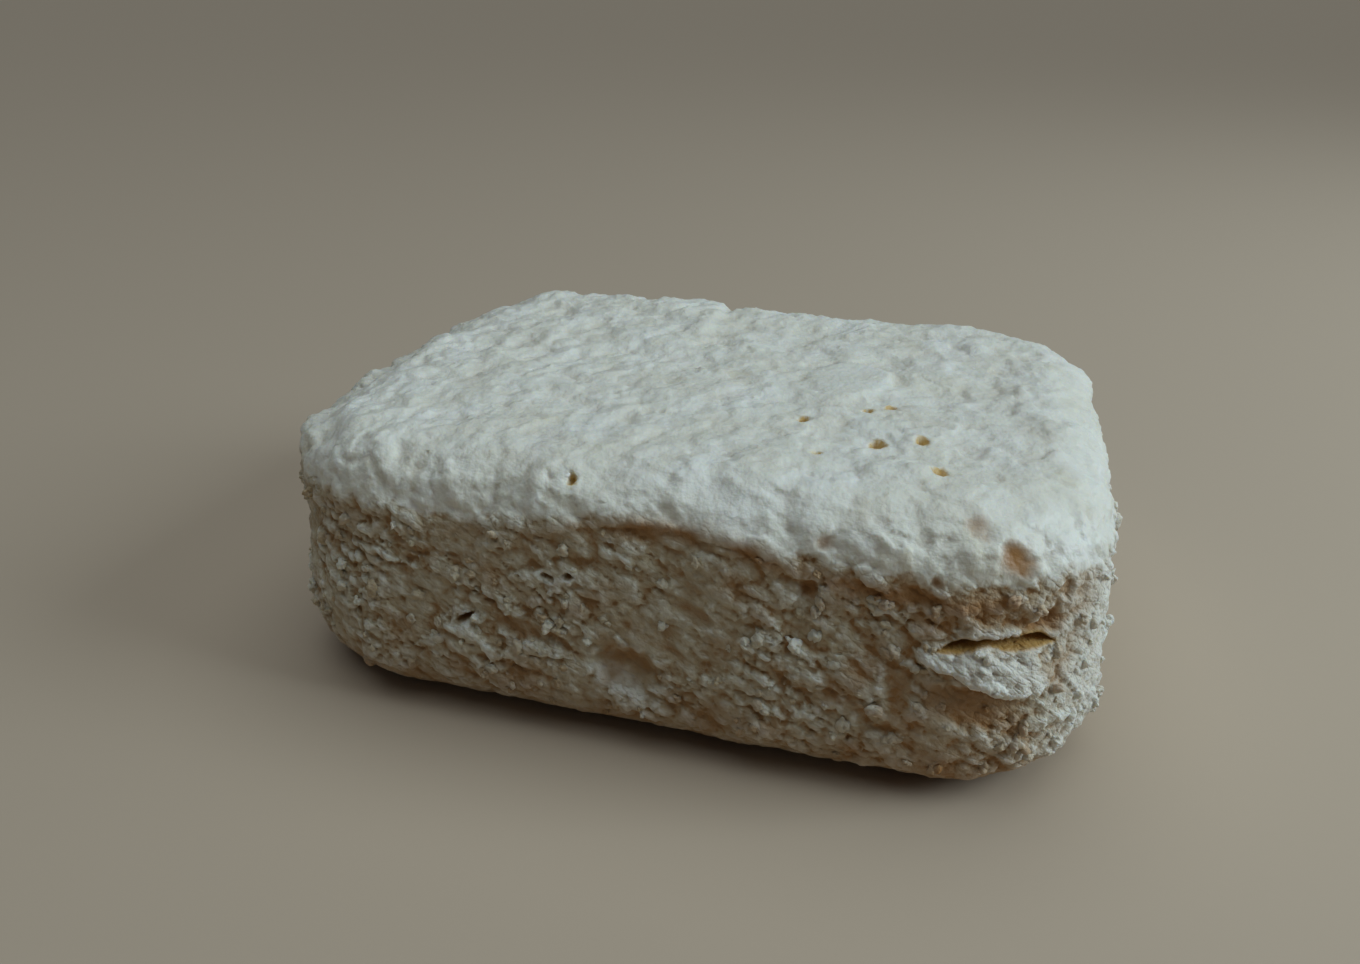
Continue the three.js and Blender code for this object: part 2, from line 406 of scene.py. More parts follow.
# The streaks of the top, turned in degrees, which fade to the right over a slanted line
STREAK_TURN = 61
STREAK_STRETCH = 0.65
STREAK_BENDS = (Bend(9 * MM, 8 * MM), Bend(3 * MM, 3 * MM))
STREAK_WAVES = Layer(3.6 * MM, rise=0.3, seed=11)
STREAK_LUMPS = Lumps(5 * MM, rise=0.4, uneven=0.8)
STREAK_SLOPE = 0.4
STREAK_FADE = Ramp(-30 * MM, 30 * MM)

# The fine ripples, grain and dimples of the top
RIPPLE_STRETCH = 0.5
RIPPLE_BEND = Bend(3 * MM, 1.5 * MM)
RIPPLES = Layer(2.4 * MM, rise=0.2 * MM, seed=3)
TOP_GRAIN = Layer(1.5 * MM, rise=0.22 * MM, seed=9)
DIMPLE_BEND = Bend(4 * MM, 3 * MM)
DIMPLES = Patches(4 * MM, Ramp(0.34, 0.6, 0.45 * MM), detail=1, seed=6)

# The lumps of the rolled edge, which hang down over it
ROLL_BELOW = Ramp(0.5 * MM, 5 * MM)
ROLL_HANG = 0.45
ROLL_BEND = Bend(5 * MM, 4 * MM)
ROLL_LUMPS = Lumps(6 * MM, rise=0.7 * MM, uneven=0.9)
ROLL_CLOT_BEND = Bend(3 * MM, 3 * MM)
ROLL_CLOTS = Lumps(2.8 * MM, rise=0.35 * MM)
ROLL_WAVES = Layer(3.4 * MM, rise=0.6 * MM, seed=10)

# The left end, which is lumpier, fuller low down and lower above
LEFT_END = Ramp(55 * MM, 72 * MM)
LEFT_LUMPIER = 0.6
LEFT_FULL = {"z": 42.5 * MM, "reach": 5 * MM, "rise": 1.5 * MM}
LEFT_DROP = {"z": 49 * MM, "reach": 3.5 * MM, "drop": 1.8 * MM}

# The full shoulder at the back right
SHOULDER = {"x": 46 * MM, "y": 45 * MM, "reach": 15 * MM, "rise": 1.2 * MM}

# The fold of the top, which steps down from left to right
FOLD = {"x": -8 * MM, "slope": 0.06, "front": 2 * MM, "back": 46 * MM, "rise": 1.9 * MM, "reach": 40 * MM}
FOLD_WAVES = Layer(8 * MM, rise=2 * MM)
FOLD_EDGE = Ramp(-2 * MM, 1.6 * MM)

# The patch of the top that was pressed flat
PATCH = {"x": 25.5 * MM, "y": 4.5 * MM, "half_x": 8.5 * MM, "half_y": 11.5 * MM, "rise": 0.5 * MM}
PATCH_WAVES = Layer(6 * MM, rise=0.3)
PATCH_EDGE = Ramp(0.8, 1.05)

# Pits of the top: places and radii in millimetres
PITS = (
    (20.4, -18.2, 1.0), (31, -11.8, 0.9), (35, -8.3, 1.1), (34.4, -25.4, 1.6), (41.7, -23.2, 1.1),
    (25.1, -32.6, 0.9), (45.3, -34.6, 1.3), (-12.1, -49.3, 0.7),
)
PIT_DEPTH = 1.5 * MM
PIT_STRETCH = 0.75
PIT_WAVES = Layer(1.6 * MM, rise=0.45, detail=1, seed=20)
PIT_WALL = Ramp(0.65, 1.0)
PIT_COLOUR = Ramp(0.9, 1.25)

# Dents of the rim, the rolled edge and the slit's end: middles, radii, depths in millimetres, and stains
DENTS = (
    ((57.8, -48.9, 45.6), 3.1, 0.35, 1.0), ((58.9, -48.3, 44.2), 2.4, 0.2, 1.0),
    ((51.9, -46.9, 49.4), 2.2, 0.3, 0.6), ((52.5, -47.9, 48.0), 1.8, 0.3, 0.5),
    ((47.8, -53.6, 42.2), 1.5, 0.9, 1.0), ((28.2, -54.0, 37.8), 1.9, 1.1, 1.0),
    ((30.2, -51.9, 45.6), 1.5, 0.4, 0.6), ((68.9, -45.2, 26.3), 1.3, 0.9, 0.7),
    ((64.0, -47.0, 34.4), 2.9, 1.3, 0.85), ((62.2, -48.6, 33.4), 2.2, 0.9, 0.8),
    ((65.4, -45.6, 33.4), 2.2, 0.9, 0.8),
)
DENT_BEND = Bend(2.5 * MM, 2.4 * MM)
DENT_SLOPE = Ramp(0.3, 1.15)

# The grain of the sides, which falls to the right
GRAIN_SLOPE = 0.4
GRAIN_STRETCH = 0.65

# The torn clumps of the sides, which are flatter at the foot
SIDE_WAVES = Layer(21 * MM, rise=0.9 * MM, detail=1)
CLUMP_BENDS = (Bend(6 * MM, 5 * MM), Bend(2 * MM, 1.8 * MM))
CLUMPS = Lumps(5 * MM, uneven=1.1)
CLUMP_WAVES = Layer(9 * MM, seed=17)
FOOT = Ramp(2 * MM, 10 * MM)
FOOT_CLUMPS = 0.35

# The crumbs of the sides, with their shares where the curd is firm and where it is loose
CRUMB_BEND = Bend(2.4 * MM, 2.6 * MM)
CRUMBS = Lumps(2.1 * MM, uneven=1.1)
CRUMB_SHARES = (0.4, 1.1)
FINE_BEND = Bend(1.3 * MM, 1.7 * MM)
FINE_CRUMBS = Lumps(1.3 * MM)
FINE_DEPTH = 0.45
FINE_SHARES = (0.5, 1.1)
FOOT_CRUMBS = 0.4
PORES = Patches(5.5 * MM, Ramp(0.38, 0.56, 0.7 * MM), detail=1, seed=8)
SIDE_GRAIN = Layer(0.9 * MM, rise=0.2 * MM)

# Where the curd is loose: in patches, and at the corner round the slit, in millimetres
LOOSE = Patches(14 * MM, Ramp(-0.25, 0.3), detail=1, seed=4)
TORN_CORNER = {"at": (57, -51, 35), "reach": 13}

# Marks on the front: the thumb mark with painted shade in its upper part and painted light in its lower part,
# smears and crevices
THUMB = Mark((-1.7, 17.2), (8.2, 5.2), 25, depth=2.0)
THUMB_SHADE = Mark((-0.6, 19.4), (7.6, 3.0), 25, stain=0.6)
THUMB_PAINTED_LIGHT = Mark((-2.9, 14.4), (7.0, 3.2), 25, stain=0.35)
SMEARS = (
    Mark((43.6, 22.8), (2.6, 5.2), -14, depth=0.4),
    Mark((-19.5, 22.0), (6.5, 2.2), 4, depth=0.5, stain=0.4),
    Mark((10.5, 30.0), (5.0, 1.8), 24, depth=0.4, stain=0.4),
)
CREVICES = (
    Mark((-31.1, 22.1), (2.6, 0.9), -38, depth=3.0),
    Mark((-15.4, 32.6), (1.9, 0.8), 12, depth=2.4),
    Mark((-11.6, 33.4), (1.1, 0.7), 0, depth=2.0),
)

# The torn curd between the rim and the slit, and the hollow below the flake, whose stain is painted shadow
OVER_SLIT = Mark((56.0, 35.6), (10.0, 2.4), 0, depth=0.5, stain=0.4)
UNDER_FLAKE = Mark((53.0, 21.0), (11.0, 3.6), 19, depth=0.8, stain=0.6)

# How a mark fades out from its middle
MARK_WAVES = Layer(4 * MM, rise=0.5, seed=16)
MARK_SLOPE = Ramp(0.25, 1.1)
MARK_COLOUR = Ramp(0.4, 1.1)
THUMB_SMOOTH = Ramp(0.5, 1.15)
SMEAR_SMOOTH = Ramp(0.6, 1.1, 0.7)

# How much of the relief is lost in smooth marks, in stains and the painted shadow below the flake, and in the
# slit
SMOOTH_LOSS = {"clumps": 0.9, "crumbs": 0.85}
STAIN_LOSS = {"coarse": 0.7, "fine": 0.6}
INSIDE_LOSS = 0.85

# The torn slit at the front right corner, in millimetres and degrees, and its lips along its length
SLIT = {"tip": (48.2, -55.2, 30.6), "turn": 23.6, "length": 20.2, "depth": 4.2, "tilt": 0.15}
SLIT_LIPS = {"open": 4.5, "close": 17.0, "upper": 2.2, "bulge_at": 7.8, "bulge": 1.0, "bulge_reach": 2.0}
SLIT_ENDS = {"within": 0.5 * MM, "beyond": 1 * MM, "shut": 1 * MM}
SLIT_ROUND = 0.25 * MM
SLIT_INSIDE = Ramp(0.0, 0.5 * MM)

# The flake below the slit, in millimetres, and where it ends on each side
FLAKE = {"top": 0.4, "edge": -2.2, "fall": 0.41, "level": 11, "length": 21, "lip": 0.5, "stands": 2.6}
FLAKE_WAVES = Layer(3.5 * MM, rise=1.8 * MM, detail=1, seed=13)
FLAKE_LEFT = Ramp(-3 * MM, 2 * MM)
FLAKE_TAPER = 0.6
FLAKE_EDGE = Ramp(-0.4 * MM, 0.5 * MM)
FLAKE_TOP = Ramp(-0.5 * MM, 1.5 * MM)
FLAKE_BACK = Ramp(8 * MM, 14 * MM)


def plan_distance(x, y, size):
    """Distance to the rounded rectangle of the block's plan."""
    corner = size["Corner Radius"]
    over_x = abs(x) - (size["Length"] / 2 - corner)
    over_y = abs(y) - (size["Width"] / 2 - corner)
    return hypot(over_x.most(0), over_y.most(0)) + over_x.most(over_y).least(0) - corner


def rolled_distance(plan, z, size):
    """Distance to the plain block, with its top and lower edges rolled over."""
    height = size["Height"]
    low, high = (height * share for share in ROLL_CHANGE)
    roll = blend(step(z, low, high), size["Base Roll"], size["Top Roll"])
    across = plan + roll
    upward = abs(z - height / 2) - height / 2 + roll
    return hypot(across.most(0), upward.most(0)) + across.most(upward).least(0) - roll


def front_spot(x, z, mark):
    """Share of the way out from a mark's middle on the front face, 1 at its uneven edge."""
    fall = math.radians(mark.fall)
    right = x - mark.at[0] * MM
    up = z - mark.at[1] * MM
    along = (right * math.cos(fall) - up * math.sin(fall)) / (mark.half[0] * MM)
    across = (right * math.sin(fall) + up * math.cos(fall)) / (mark.half[1] * MM)
    return hypot(along, across) + noise(combine(x, 0, z), MARK_WAVES)


def grained(x, y, z):
    """A place in which round features come out drawn along the grain of the sides."""
    return combine(x * GRAIN_STRETCH, y * GRAIN_STRETCH, z + (x + y) * GRAIN_SLOPE)


def side_crags(place, x, y, z, front, size):
    """How far the torn curd of the sides stands out: broad waves, clumps, crumbs and marks."""
    grain = grained(x, y, z)
    clumps = domes(warped(grain, *CLUMP_BENDS), CLUMPS) + noise(grain, CLUMP_WAVES)
    crumbs = domes(warped(grain, CRUMB_BEND), CRUMBS) * blend(loose_patches(place), *CRUMB_SHARES)
    crags = size["Crag Depth"] * clumps + size["Crumb Depth"] * crumbs
    crags = crags * blend(ramped(z, FOOT), FOOT_CLUMPS, 1)
    relief = noise(place, SIDE_WAVES) + crags * (1 - SMOOTH_LOSS["clumps"] * smoothed(x, z, front))
    for mark in (THUMB, *SMEARS, *CREVICES, OVER_SLIT, UNDER_FLAKE):
        relief -= mark.depth * MM * (1 - ramped(front_spot(x, z, mark), MARK_SLOPE)) * front
    return relief


def loose_patches(place):
    """Where the sides are loose crumbs rather than torn streaks."""
    away = place.vector("DISTANCE", place, in_metres(TORN_CORNER["at"]), output="Value")
    return patched(place, LOOSE).most(bell(away, TORN_CORNER["reach"] * MM))


def side_crumbs(place, x, z, front, size):
    """How far the fine crumbs of the sides stand out."""
    loose = warped(place, FINE_BEND)
    crumbs = size["Crumb Depth"] * FINE_DEPTH * domes(loose, FINE_CRUMBS)
    relief = crumbs * blend(loose_patches(place), *FINE_SHARES) - patched(loose, PORES)
    relief = relief * blend(ramped(z, FOOT), FOOT_CRUMBS, 1) + noise(place, SIDE_GRAIN)
    return relief * (1 - SMOOTH_LOSS["crumbs"] * smoothed(x, z, front))


def smoothed(x, z, front):
    """Where the front was pressed or smeared smooth."""
    share = THUMB_SMOOTH.share - ramped(front_spot(x, z, THUMB), THUMB_SMOOTH)
    for smear in SMEARS:
        share = share.most(SMEAR_SMOOTH.share - ramped(front_spot(x, z, smear), SMEAR_SMOOTH))
    return share * front


def top_plates(place, x, y, z, size):
    """How far the pressed skin of the top stands out: waves, doughy lumps, rolled edge, fold and pits."""
    flat = combine(x, y, 0)
    bent = warped(place, TOP_BEND)
    plates = noise(bent, TOP_LUMPS) + PLATE_RISE * terraces(bent, PLATES, PLATE_LEVELS)
    plates += streaks(x, y) * ramped(y * STREAK_SLOPE - x, STREAK_FADE)
    patch = hypot((x - PATCH["x"]) / PATCH["half_x"], (y - PATCH["y"]) / PATCH["half_y"])
    patch = ramped(patch + noise(flat, PATCH_WAVES), PATCH_EDGE)
    relief = size["Lump Depth"] * plates * patch + PATCH["rise"] * (1 - patch)
    relief += noise(place, TOP_WAVES)
    left_end = ramped(-x, LEFT_END)
    lumps = roll_lumps(place, x, y, z) * ramped(size["Height"] - z, ROLL_BELOW)
    relief += lumps * (1 + LEFT_LUMPIER * left_end)
    relief += LEFT_FULL["rise"] * left_end * bell(z - LEFT_FULL["z"], LEFT_FULL["reach"])
    relief -= LEFT_DROP["drop"] * left_end * bell(z - LEFT_DROP["z"], LEFT_DROP["reach"])
    away = hypot(x - SHOULDER["x"], y - SHOULDER["y"])
    relief += SHOULDER["rise"] * bell(away, SHOULDER["reach"])
    left = FOLD["x"] - FOLD["slope"] * (y - FOLD["front"]) - x + noise(flat, FOLD_WAVES)
    fold = ramped(left, FOLD_EDGE) * step(y, FOLD["front"], FOLD["back"])
    relief += FOLD["rise"] * fold * bell(left.most(0), FOLD["reach"])
    return relief - PIT_DEPTH * pits(x, y, PIT_WALL)


def roll_lumps(place, x, y, z):
    """How far the lumps of the rolled edge stand out."""
    hung = warped(combine(x, y, z * ROLL_HANG), ROLL_BEND)
    clots = domes(warped(place, ROLL_CLOT_BEND), ROLL_CLOTS)
    return domes(hung, ROLL_LUMPS) + clots + noise(hung, ROLL_WAVES)


def streaks(x, y):
    """Slanted lumps and streaks that were drawn over the top from the front left to the back right."""
    turn = math.radians(STREAK_TURN)
    along = x * math.cos(turn) + y * math.sin(turn)
    across = y * math.cos(turn) - x * math.sin(turn)
    drawn = warped(combine(along * STREAK_STRETCH, across, 0), *STREAK_BENDS)
    return noise(drawn, STREAK_WAVES) + domes(drawn, STREAK_LUMPS)


def pits(x, y, edge):
    """Where the pits of the top are: 1 within them, falling to 0 over an edge in shares of their radius."""
    share = 0
    for pit_x, pit_y, radius in PITS:
        away = hypot(x - pit_x * MM, (y - pit_y * MM) * PIT_STRETCH) / (radius * MM)
        share = 1 - ramped(away + noise(combine(x, y, 0), PIT_WAVES), edge) + share
    return share


def top_ripples(place, x, y):
    """How far the fine ripples and dimples of the top stand out."""
    combed = warped(combine(x * RIPPLE_STRETCH, y, 0), RIPPLE_BEND)
    relief = noise(combed, RIPPLES) + noise(place, TOP_GRAIN)
    return relief - patched(warped(place, DIMPLE_BEND), DIMPLES)


def dents(start):
    """How deep the dents of the rim, the rolled edge and the slit's end are, and how stained."""
    deep = 0
    stained = 0 * start.split()[0]
    place = warped(start, DENT_BEND)
    for at, radius, depth, stain in DENTS:
        away = place.vector("DISTANCE", place, in_metres(at), output="Value")
        near = 1 - ramped(away / (radius * MM), DENT_SLOPE)
        deep = near * (depth * MM) + deep
        stained = stained.most(near * stain)
    return deep, stained


def front_marks(x, y, z, marks):
    """How discoloured some marks on the front are."""
    share = 0 * x
    for mark in marks:
        spot = (1 - ramped(front_spot(x, z, mark), MARK_COLOUR)) * ramped(-y, FRONT_FACE)
        share = share.most(mark.stain * spot)
    return share


def slit_frame(x, y, z):
    """A place as seen from the slit's left tip: along the corner, inwards and up."""
    turn = math.radians(SLIT["turn"])
    right, back, up = (axis - at * MM for axis, at in zip((x, y, z), SLIT["tip"]))
    along = right * math.cos(turn) + back * math.sin(turn)
    inward = back * math.cos(turn) - right * math.sin(turn)
    return along, inward, up


def flake_stand(x, y, z):
    """How far the flake below the slit stands out: a wedge that is thin at its left and leans outwards."""
    along, inward, up = slit_frame(x, y, z)
    top = FLAKE["top"] * MM
    edge = FLAKE["edge"] * MM - FLAKE["fall"] * along.least(FLAKE["level"] * MM)
    edge += noise(combine(x, y, 0), FLAKE_WAVES)
    lean = ((top - up) / (top - edge)).most(0).least(1)
    length = FLAKE["length"] * MM
    ends = ramped(along, FLAKE_LEFT) * (1 - step(along, length * FLAKE_TAPER, length))
    inside = ramped(up - edge, FLAKE_EDGE) * (1 - ramped(up - top, FLAKE_TOP))
    near = 1 - ramped(inward, FLAKE_BACK)
    return blend(lean, FLAKE["lip"], FLAKE["stands"]) * MM * inside * ends * near


def slit_distance(x, y, z):
    """Distance to the space of the torn slit."""
    along, inward, up = slit_frame(x, y, z)
    lips = {name: value * MM for name, value in SLIT_LIPS.items()}
    length = SLIT["length"] * MM
    within, beyond, shut = (SLIT_ENDS[name] for name in ("within", "beyond", "shut"))
    ends = step(along, 0, lips["open"]) * (1 - step(along, lips["close"], length))
    upper = lips["upper"] * ends
    lower = lips["bulge"] * bell(along - lips["bulge_at"], lips["bulge_reach"])
    closing = 1 - (inward / (SLIT["depth"] * MM)).most(0)
    outside = step(-along, -within, beyond) + step(along, length - within, length + beyond)
    half = (upper - lower) / 2 * closing - shut * outside - shut * (-closing).most(0)
    level = up - (upper + lower) / 2 + SLIT["tilt"] * inward
    return abs(level) - half


def rim_parts(place, size, rag=0):
    """Height of a place above the skin's wavy rim, the reach of the tongue there, and the front."""
    x, y, z = place.split()
    low, high = (size["Width"] * share for share in FRONT_SHARES)
    front = step(-y, low, high)
    tongue = front * bell(x - TONGUE["x"], TONGUE["width"])
    wave = noise(combine(x, y, 0), RIM_WAVES) + rag
    return z - (size["Rim Height"] + wave + TONGUE["rise"] * tongue), tongue, front


def plain_distance(place, size):
    """Distance to the block without its relief, below zero inside."""
    x, y, z = place.split()
    above, tongue, front = rim_parts(place, size)
    plan = plan_distance(x, y, size) + size["Flare"] * step(z, size["Height"] * FLARE_FROM, z - above)
    ragged = 1 + noise(combine(x, y, 0), RIM_STAND)
    worn = 1 - ramped(x, RIM_WORN)
    stands = size["Skin Thickness"] * ragged.most(0) * worn + TONGUE["stands"] * tongue
    shape = rolled_distance(plan, z, size) - stands * ramped(above, RIM_EDGE) - flake_stand(x, y, z)
    return shape.math("SMOOTH_MAX", shape, -slit_distance(x, y, z), SLIT_ROUND)


# Geometry Nodes

# The most points that a loose speck of the meshed surface has
SPECK_POINTS = 2000

# Rounds of blurring that hollows and creases are measured against
BLUR_ROUNDS = {"hollow": 40, "crease": 6}

# The crumbs: how many kinds, and their uneven form in shares of their radius
CRUMB_KINDS = 7
CRUMB_SMOOTHNESS = 3
CRUMB_SIDES = (1.2, 1.0, 0.85)
CRUMB_APART = 5.0
CRUMB_FORM = Layer(1.5, rise=0.75, detail=1)
CRUMB_KNOBS = Lumps(0.85, rise=0.4, uneven=0.9)
CRUMB_GRAIN = Layer(0.4, rise=0.25, detail=1)
CRUMB_SHRINK = 0.25
CRUMB_SUNK = 0.75

# Where crumbs cling
CRUMB_SKIN = Ramp(0.0, 0.1)
CRUMB_INSIDE = Ramp(0.0, 0.3)
CRUMB_BASE = Ramp(1 * MM, 3 * MM)
CRUMB_FIRM = 0.2
CRUMB_RAISED = Ramp(-0.2, 0.2)
CRUMB_FACING = Ramp(-0.5, -0.1)

# How hollow crumbs and larger bits count as, which sets how tan they are
CRUMB_HOLLOW = (-0.4, 0.2)
BIT_HOLLOW = (-0.55, -0.15)

# The larger bits: middles and radii in millimetres
BITS = (
    ((27.2, -54.1, 22.3), 1.5), ((29.9, -53.5, 29.3), 1.2), ((38.4, -53.0, 36.6), 1.5),
    ((40.8, -53.7, 28.5), 1.3), ((43.9, -53.9, 27.4), 0.9), ((33.2, -54.0, 25.1), 1.5),
    ((36, -54.6, 14.6), 1.6), ((24.9, -54.6, 14.9), 1.1), ((16.2, -54.2, 24.7), 0.9),
    ((43, -54.6, 12.9), 1.4), ((66.4, -44.2, 20.9), 1.1), ((-29.3, -53.2, 37.1), 0.9),
    ((-41.8, -54.5, 19.6), 1.1), ((-53.2, -52.9, 8.2), 1.4), ((-36.6, -54.6, 16.8), 1.5),
    ((-29.1, -54.3, 19.8), 1.4), ((-5.6, -53.9, 26.1), 0.9), ((4.6, -53.8, 27.1), 1.2),
    ((13.6, -53.1, 35.3), 1.0), ((-44.9, -53.2, 34.1), 0.9),
)


def node_inputs(tree, group):
    """Give a tree one named input for each number in a property group."""
    for key in group.__annotations__:
        label = group.bl_rna.properties[key].name
        tree.interface.new_socket(label, in_out="INPUT", socket_type="NodeSocketFloat")
    made = tree.nodes.new("NodeGroupInput")
    return {socket.name: Wire(tree, socket) for socket in made.outputs if socket.name}


def node_values(group):
    """The values of a property group under the names of its tree inputs."""
    labels = type(group).bl_rna.properties
    return {labels[key].name: float(getattr(group, key)) for key in type(group).__annotations__}


def named(wire, name):
    """A number that was kept on the points under a name."""
    return wire.node("GeometryNodeInputNamedAttribute", {"data_type": "FLOAT"}, {"Name": name})


def chance(wire, low, high, seed):
    """A number for each point, picked evenly from a range."""
    index = wire.node("GeometryNodeInputIndex")
    links = {2: low, 3: high, "ID": index, "Seed": seed}
    return wire.node("FunctionNodeRandomValue", {"data_type": "FLOAT"}, links, 1)


def without_specks(surface):
    """The surface without the small loose shells that stay where the slit closes."""
    shell = surface.node("GeometryNodeInputMeshIsland")
    links = {"Value": 1.0, "Group ID": shell}
    points = surface.node("GeometryNodeAccumulateField", {"data_type": "FLOAT"}, links, "Total")
    speck = points.math("LESS_THAN", points, SPECK_POINTS)
    return surface.node("GeometryNodeDeleteGeometry", {}, {"Geometry": surface, "Selection": speck})


def new_tree(name):
    """A new tree that puts out geometry."""
    tree = bpy.data.node_groups.new(name, "GeometryNodeTree")
    tree.interface.new_socket("Geometry", in_out="OUTPUT", socket_type="NodeSocketGeometry")
    return tree


def put_out(geometry, material):
    """End a tree with its finished geometry, in one material."""
    real = geometry.node("GeometryNodeRealizeInstances", {}, {"Geometry": geometry})
    done = geometry.node("GeometryNodeSetMaterial", {}, {"Geometry": real, "Material": material})
    geometry.node("NodeGroupOutput", {}, {"Geometry": done})


def plain_surface(place, size, voxel):
    """The block's surface without its relief, meshed from cells of a given size."""
    low = Vector(LOW) - Vector((MARGIN,) * 3)
    high = Vector(HIGH) + Vector((MARGIN,) * 3)
    cells = [round((high[axis] - low[axis]) / voxel) for axis in range(3)]
    links = {"Density": -plain_distance(place, size), "Background": -MARGIN, "Min": low, "Max": high}
    links.update(zip(("Resolution X", "Resolution Y", "Resolution Z"), cells))
    volume = place.node("GeometryNodeVolumeCube", {}, links)
    surface = place.node("GeometryNodeVolumeToMesh", {}, {"Volume": volume, "Threshold": 0.0})
    return without_specks(surface)


def block_tree(material, voxel):
    """The tree that makes the block's plain surface and then its relief."""
    tree = new_tree("Tofu Block")
    size = node_inputs(tree, BlockSizes)
    start = Wire(tree)
    place = start.node("GeometryNodeInputPosition")
    normal = start.node("GeometryNodeInputNormal")
    x, y, z = place.split()
    above, tongue, front = rim_parts(place, size, noise(place, RIM_RAG))
    deep, stained = dents(place)
    surface = plain_surface(place, size, voxel)
    marks = {
        "skin": ramped(above, SKIN_RISE),
        # Where the line under the rim is painted as shadow, and at the tongue as the skin's own edge
        "under": bell(above + UNDER_RIM["below"] * (1 - tongue), UNDER_RIM["reach"]),
        "bare": ramped(z, BASE_RISE),
        "inside": 1 - ramped(slit_distance(x, y, z), SLIT_INSIDE),
        "pit": pits(x, y, PIT_COLOUR) * ramped(z, PIT_HEIGHT),
        # Real stains of the dents, and painted shadow in the hollow below the flake
        "stain": stained.most(front_marks(x, y, z, [UNDER_FLAKE])),
        # Stains of the smears and above the slit, and painted shade in the thumb mark's upper part
        "smear": front_marks(x, y, z, [THUMB_SHADE, *SMEARS, OVER_SLIT]),
        "flake": flake_stand(x, y, z) / (FLAKE["stands"] * MM),
    }
    for name, value in marks.items():
        surface = store(surface, name, value)
    bare, inside, stain = (named(start, name) for name in ("bare", "inside", "stain"))
    upper = ramped(above, TOP_RISE)
    coarse = blend(upper, side_crags(place, x, y, z, front, size), top_plates(place, x, y, z, size))
    coarse = coarse * (1 - STAIN_LOSS["coarse"] * stain) - deep
    fine = blend(upper, side_crumbs(place, x, z, front, size), top_ripples(place, x, y))
    fine = fine * (1 - STAIN_LOSS["fine"] * stain)
    for relief in (coarse, fine):
        offset = normal.scaled(relief * bare * (1 - INSIDE_LOSS * inside))
        surface = start.node("GeometryNodeSetPosition", {}, {"Geometry": surface, "Offset": offset})
    # Hollows and creases, measured against blurred surfaces, which the finish colours tan as partly painted
    # shade
    for name, rounds in BLUR_ROUNDS.items():
        soft = start.node("GeometryNodeBlurAttribute", {"data_type": "FLOAT_VECTOR"}, {0: place, 1: rounds})
        depth = start.vector("DOT_PRODUCT", start.vector("SUBTRACT", soft, place), normal, output="Value")
        # The thumb mark's lower part is made less hollow, to paint light there
        surface = store(surface, name, depth / MM - front_marks(x, y, z, [THUMB_PAINTED_LIGHT]))
    put_out(start.node("GeometryNodeSetShadeSmooth", {}, {"Geometry": surface}), material)
    return tree


def crumb_shapes(start):
    """A few uneven crumbs of radius 1, as instances to pick from."""
    place = start.node("GeometryNodeInputPosition")
    normal = start.node("GeometryNodeInputNormal")
    shapes = []
    for kind in range(CRUMB_KINDS):
        ball = start.node("GeometryNodeMeshIcoSphere", {}, {"Radius": 1.0, "Subdivisions": CRUMB_SMOOTHNESS})
        moved = place.vector("ADD", place, (CRUMB_APART * kind, 0, 0))
        uneven = noise(moved, CRUMB_FORM) + domes(moved, CRUMB_KNOBS) + noise(moved, CRUMB_GRAIN)
        offset = normal.scaled(uneven - CRUMB_SHRINK)
        ball = start.node("GeometryNodeSetPosition", {}, {"Geometry": ball, "Offset": offset})
        ball = start.node("GeometryNodeSetShadeSmooth", {}, {"Geometry": ball})
        shapes.append(start.node("GeometryNodeGeometryToInstance", {}, {0: [ball]}))
    return start.node("GeometryNodeJoinGeometry", {}, {0: shapes})


def crumbs_on(points, seed, hollow):
    """Uneven crumbs set on points, each turned its own way and as hollow as a range allows."""
    turn = combine(*(chance(points, 0.0, math.tau, seed + 10 * axis) for axis in range(3)))
    kind = chance(points, 0.0, CRUMB_KINDS - 0.01, seed + 2)
    kind = kind.math("FLOOR", kind)
    radius = named(points, "crumb")
    crumbs = points.node("GeometryNodeInstanceOnPoints", {}, {
        "Points": points, "Instance": crumb_shapes(points), "Pick Instance": True,
        "Instance Index": kind, "Rotation": turn, "Scale": combine(*(radius * side for side in CRUMB_SIDES))})
    return store(crumbs, "hollow", chance(points, *hollow, seed + 1), "INSTANCE")


